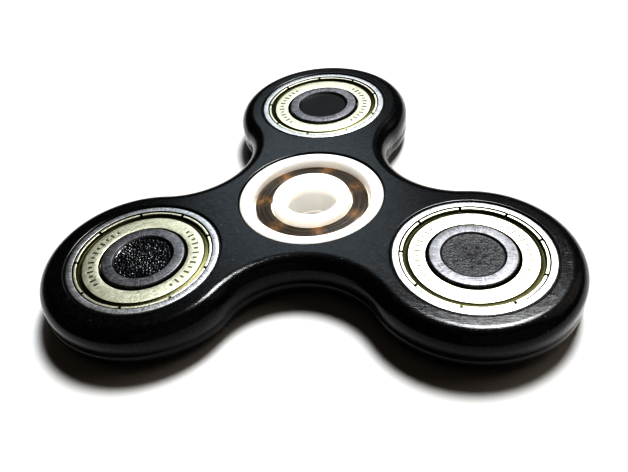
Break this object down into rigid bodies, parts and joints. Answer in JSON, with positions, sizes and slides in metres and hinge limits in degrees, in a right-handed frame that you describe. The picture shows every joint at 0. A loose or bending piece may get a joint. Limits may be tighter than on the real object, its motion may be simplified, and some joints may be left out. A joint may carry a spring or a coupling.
{
  "type": "fidget spinner",
  "caption": "Three-armed hand spinner: a rounded plastic body pressed round a centre ball bearing and a weight bearing in each arm.",
  "frame": {"origin": "on the spin axis, at the middle of the centre bearing's bore and of the body's thickness", "axes": "+Z along the spin axis, up from the table; +Y towards the rear arm; +X to the right"},
  "size_m": [0.0758, 0.0697, 0.0072],
  "materials": {
    "black_plastic": "glossy black moulded plastic with fine scratches",
    "white_ceramic": "smooth ground white ceramic",
    "amber_nylon": "dark translucent amber moulded plastic",
    "ring_steel": "ground bearing steel with fine turning marks",
    "cage_steel": "pressed steel",
    "shield_zinc": "pale yellow zinc-plated sheet",
    "ball_steel": "polished steel",
    "plug_plastic": "dark grained plastic"
  },
  "bodies": {
    "spinner_body": {"body": "black_plastic", "centre_outer_ring": "white_ceramic", "rear_outer_ring": "ring_steel", "rear_upper_shield": "shield_zinc", "rear_lower_shield": "shield_zinc", "left_outer_ring": "ring_steel", "left_upper_shield": "shield_zinc", "left_lower_shield": "shield_zinc", "right_outer_ring": "ring_steel", "right_upper_shield": "shield_zinc", "right_lower_shield": "shield_zinc"},
    "centre_inner": {"centre_inner_ring": "white_ceramic"},
    "centre_cage_set": {"centre_cage": "amber_nylon"},
    "centre_ball_1": {"centre_ball_1": "white_ceramic"},
    "centre_ball_2": {"centre_ball_2": "white_ceramic"},
    "centre_ball_3": {"centre_ball_3": "white_ceramic"},
    "centre_ball_4": {"centre_ball_4": "white_ceramic"},
    "centre_ball_5": {"centre_ball_5": "white_ceramic"},
    "centre_ball_6": {"centre_ball_6": "white_ceramic"},
    "centre_ball_7": {"centre_ball_7": "white_ceramic"},
    "rear_inner": {"rear_inner_ring": "ring_steel", "rear_bore_plug": "plug_plastic"},
    "rear_cage_set": {"rear_upper_cage": "cage_steel", "rear_lower_cage": "cage_steel", "rear_cage_rivets": "cage_steel"},
    "rear_ball_1": {"rear_ball_1": "ball_steel"},
    "rear_ball_2": {"rear_ball_2": "ball_steel"},
    "rear_ball_3": {"rear_ball_3": "ball_steel"},
    "rear_ball_4": {"rear_ball_4": "ball_steel"},
    "rear_ball_5": {"rear_ball_5": "ball_steel"},
    "rear_ball_6": {"rear_ball_6": "ball_steel"},
    "rear_ball_7": {"rear_ball_7": "ball_steel"},
    "left_inner": {"left_inner_ring": "ring_steel", "left_bore_plug": "plug_plastic"},
    "left_cage_set": {"left_upper_cage": "cage_steel", "left_lower_cage": "cage_steel", "left_cage_rivets": "cage_steel"},
    "left_ball_1": {"left_ball_1": "ball_steel"},
    "left_ball_2": {"left_ball_2": "ball_steel"},
    "left_ball_3": {"left_ball_3": "ball_steel"},
    "left_ball_4": {"left_ball_4": "ball_steel"},
    "left_ball_5": {"left_ball_5": "ball_steel"},
    "left_ball_6": {"left_ball_6": "ball_steel"},
    "left_ball_7": {"left_ball_7": "ball_steel"},
    "right_inner": {"right_inner_ring": "ring_steel", "right_bore_plug": "plug_plastic"},
    "right_cage_set": {"right_upper_cage": "cage_steel", "right_lower_cage": "cage_steel", "right_cage_rivets": "cage_steel"},
    "right_ball_1": {"right_ball_1": "ball_steel"},
    "right_ball_2": {"right_ball_2": "ball_steel"},
    "right_ball_3": {"right_ball_3": "ball_steel"},
    "right_ball_4": {"right_ball_4": "ball_steel"},
    "right_ball_5": {"right_ball_5": "ball_steel"},
    "right_ball_6": {"right_ball_6": "ball_steel"},
    "right_ball_7": {"right_ball_7": "ball_steel"}
  },
  "joints": [
    {"name": "centre_spin", "type": "hinge", "parent": "spinner_body", "child": "centre_inner", "pos_m": [0, 0, 0], "axis": [0, 0, 1], "continuous": true},
    {"name": "centre_cage_turn", "type": "hinge", "parent": "spinner_body", "child": "centre_cage_set", "pos_m": [0, 0, 0], "axis": [0, 0, 1], "continuous": true},
    {"name": "centre_ball_1_roll", "type": "hinge", "parent": "centre_cage_set", "child": "centre_ball_1", "pos_m": [0.0068, 0.00317, 0], "axis": [0, 0, 1], "continuous": true},
    {"name": "centre_ball_2_roll", "type": "hinge", "parent": "centre_cage_set", "child": "centre_ball_2", "pos_m": [0.00176, 0.00729, 0], "axis": [0, 0, 1], "continuous": true},
    {"name": "centre_ball_3_roll", "type": "hinge", "parent": "centre_cage_set", "child": "centre_ball_3", "pos_m": [-0.0046, 0.00592, 0], "axis": [0, 0, 1], "continuous": true},
    {"name": "centre_ball_4_roll", "type": "hinge", "parent": "centre_cage_set", "child": "centre_ball_4", "pos_m": [-0.0075, 0.00009, 0], "axis": [0, 0, 1], "continuous": true},
    {"name": "centre_ball_5_roll", "type": "hinge", "parent": "centre_cage_set", "child": "centre_ball_5", "pos_m": [-0.00475, -0.0058, 0], "axis": [0, 0, 1], "continuous": true},
    {"name": "centre_ball_6_roll", "type": "hinge", "parent": "centre_cage_set", "child": "centre_ball_6", "pos_m": [0.00158, -0.00733, 0], "axis": [0, 0, 1], "continuous": true},
    {"name": "centre_ball_7_roll", "type": "hinge", "parent": "centre_cage_set", "child": "centre_ball_7", "pos_m": [0.00672, -0.00334, 0], "axis": [0, 0, 1], "continuous": true},
    {"name": "rear_spin", "type": "hinge", "parent": "spinner_body", "child": "rear_inner", "pos_m": [0, 0.0265, 0], "axis": [0, 0, 1], "continuous": true},
    {"name": "rear_cage_turn", "type": "hinge", "parent": "spinner_body", "child": "rear_cage_set", "pos_m": [0, 0.0265, 0], "axis": [0, 0, 1], "continuous": true},
    {"name": "rear_ball_1_roll", "type": "hinge", "parent": "rear_cage_set", "child": "rear_ball_1", "pos_m": [0.0068, 0.02967, 0], "axis": [0, 0, 1], "continuous": true},
    {"name": "rear_ball_2_roll", "type": "hinge", "parent": "rear_cage_set", "child": "rear_ball_2", "pos_m": [0.00176, 0.03379, 0], "axis": [0, 0, 1], "continuous": true},
    {"name": "rear_ball_3_roll", "type": "hinge", "parent": "rear_cage_set", "child": "rear_ball_3", "pos_m": [-0.0046, 0.03242, 0], "axis": [0, 0, 1], "continuous": true},
    {"name": "rear_ball_4_roll", "type": "hinge", "parent": "rear_cage_set", "child": "rear_ball_4", "pos_m": [-0.0075, 0.02659, 0], "axis": [0, 0, 1], "continuous": true},
    {"name": "rear_ball_5_roll", "type": "hinge", "parent": "rear_cage_set", "child": "rear_ball_5", "pos_m": [-0.00475, 0.0207, 0], "axis": [0, 0, 1], "continuous": true},
    {"name": "rear_ball_6_roll", "type": "hinge", "parent": "rear_cage_set", "child": "rear_ball_6", "pos_m": [0.00158, 0.01917, 0], "axis": [0, 0, 1], "continuous": true},
    {"name": "rear_ball_7_roll", "type": "hinge", "parent": "rear_cage_set", "child": "rear_ball_7", "pos_m": [0.00672, 0.02316, 0], "axis": [0, 0, 1], "continuous": true},
    {"name": "left_spin", "type": "hinge", "parent": "spinner_body", "child": "left_inner", "pos_m": [-0.02295, -0.01325, 0], "axis": [0, 0, 1], "continuous": true},
    {"name": "left_cage_turn", "type": "hinge", "parent": "spinner_body", "child": "left_cage_set", "pos_m": [-0.02295, -0.01325, 0], "axis": [0, 0, 1], "continuous": true},
    {"name": "left_ball_1_roll", "type": "hinge", "parent": "left_cage_set", "child": "left_ball_1", "pos_m": [-0.01615, -0.01008, 0], "axis": [0, 0, 1], "continuous": true},
    {"name": "left_ball_2_roll", "type": "hinge", "parent": "left_cage_set", "child": "left_ball_2", "pos_m": [-0.02119, -0.00596, 0], "axis": [0, 0, 1], "continuous": true},
    {"name": "left_ball_3_roll", "type": "hinge", "parent": "left_cage_set", "child": "left_ball_3", "pos_m": [-0.02755, -0.00733, 0], "axis": [0, 0, 1], "continuous": true},
    {"name": "left_ball_4_roll", "type": "hinge", "parent": "left_cage_set", "child": "left_ball_4", "pos_m": [-0.03045, -0.01316, 0], "axis": [0, 0, 1], "continuous": true},
    {"name": "left_ball_5_roll", "type": "hinge", "parent": "left_cage_set", "child": "left_ball_5", "pos_m": [-0.0277, -0.01905, 0], "axis": [0, 0, 1], "continuous": true},
    {"name": "left_ball_6_roll", "type": "hinge", "parent": "left_cage_set", "child": "left_ball_6", "pos_m": [-0.02137, -0.02058, 0], "axis": [0, 0, 1], "continuous": true},
    {"name": "left_ball_7_roll", "type": "hinge", "parent": "left_cage_set", "child": "left_ball_7", "pos_m": [-0.01623, -0.01659, 0], "axis": [0, 0, 1], "continuous": true},
    {"name": "right_spin", "type": "hinge", "parent": "spinner_body", "child": "right_inner", "pos_m": [0.02295, -0.01325, 0], "axis": [0, 0, 1], "continuous": true},
    {"name": "right_cage_turn", "type": "hinge", "parent": "spinner_body", "child": "right_cage_set", "pos_m": [0.02295, -0.01325, 0], "axis": [0, 0, 1], "continuous": true},
    {"name": "right_ball_1_roll", "type": "hinge", "parent": "right_cage_set", "child": "right_ball_1", "pos_m": [0.02975, -0.01008, 0], "axis": [0, 0, 1], "continuous": true},
    {"name": "right_ball_2_roll", "type": "hinge", "parent": "right_cage_set", "child": "right_ball_2", "pos_m": [0.02471, -0.00596, 0], "axis": [0, 0, 1], "continuous": true},
    {"name": "right_ball_3_roll", "type": "hinge", "parent": "right_cage_set", "child": "right_ball_3", "pos_m": [0.01835, -0.00733, 0], "axis": [0, 0, 1], "continuous": true},
    {"name": "right_ball_4_roll", "type": "hinge", "parent": "right_cage_set", "child": "right_ball_4", "pos_m": [0.01545, -0.01316, 0], "axis": [0, 0, 1], "continuous": true},
    {"name": "right_ball_5_roll", "type": "hinge", "parent": "right_cage_set", "child": "right_ball_5", "pos_m": [0.0182, -0.01905, 0], "axis": [0, 0, 1], "continuous": true},
    {"name": "right_ball_6_roll", "type": "hinge", "parent": "right_cage_set", "child": "right_ball_6", "pos_m": [0.02453, -0.02058, 0], "axis": [0, 0, 1], "continuous": true},
    {"name": "right_ball_7_roll", "type": "hinge", "parent": "right_cage_set", "child": "right_ball_7", "pos_m": [0.02967, -0.01659, 0], "axis": [0, 0, 1], "continuous": true}
  ],
  "couplings": [
    {"joint": "centre_cage_turn", "follows": "centre_spin", "ratio": 0.3677},
    {"joint": "centre_ball_1_roll", "follows": "centre_spin", "ratio": -1.7573},
    {"joint": "centre_ball_2_roll", "follows": "centre_spin", "ratio": -1.7573},
    {"joint": "centre_ball_3_roll", "follows": "centre_spin", "ratio": -1.7573},
    {"joint": "centre_ball_4_roll", "follows": "centre_spin", "ratio": -1.7573},
    {"joint": "centre_ball_5_roll", "follows": "centre_spin", "ratio": -1.7573},
    {"joint": "centre_ball_6_roll", "follows": "centre_spin", "ratio": -1.7573},
    {"joint": "centre_ball_7_roll", "follows": "centre_spin", "ratio": -1.7573},
    {"joint": "rear_cage_turn", "follows": "rear_spin", "ratio": 0.3677},
    {"joint": "rear_ball_1_roll", "follows": "rear_spin", "ratio": -1.7573},
    {"joint": "rear_ball_2_roll", "follows": "rear_spin", "ratio": -1.7573},
    {"joint": "rear_ball_3_roll", "follows": "rear_spin", "ratio": -1.7573},
    {"joint": "rear_ball_4_roll", "follows": "rear_spin", "ratio": -1.7573},
    {"joint": "rear_ball_5_roll", "follows": "rear_spin", "ratio": -1.7573},
    {"joint": "rear_ball_6_roll", "follows": "rear_spin", "ratio": -1.7573},
    {"joint": "rear_ball_7_roll", "follows": "rear_spin", "ratio": -1.7573},
    {"joint": "left_cage_turn", "follows": "left_spin", "ratio": 0.3677},
    {"joint": "left_ball_1_roll", "follows": "left_spin", "ratio": -1.7573},
    {"joint": "left_ball_2_roll", "follows": "left_spin", "ratio": -1.7573},
    {"joint": "left_ball_3_roll", "follows": "left_spin", "ratio": -1.7573},
    {"joint": "left_ball_4_roll", "follows": "left_spin", "ratio": -1.7573},
    {"joint": "left_ball_5_roll", "follows": "left_spin", "ratio": -1.7573},
    {"joint": "left_ball_6_roll", "follows": "left_spin", "ratio": -1.7573},
    {"joint": "left_ball_7_roll", "follows": "left_spin", "ratio": -1.7573},
    {"joint": "right_cage_turn", "follows": "right_spin", "ratio": 0.3677},
    {"joint": "right_ball_1_roll", "follows": "right_spin", "ratio": -1.7573},
    {"joint": "right_ball_2_roll", "follows": "right_spin", "ratio": -1.7573},
    {"joint": "right_ball_3_roll", "follows": "right_spin", "ratio": -1.7573},
    {"joint": "right_ball_4_roll", "follows": "right_spin", "ratio": -1.7573},
    {"joint": "right_ball_5_roll", "follows": "right_spin", "ratio": -1.7573},
    {"joint": "right_ball_6_roll", "follows": "right_spin", "ratio": -1.7573},
    {"joint": "right_ball_7_roll", "follows": "right_spin", "ratio": -1.7573}
  ]
}
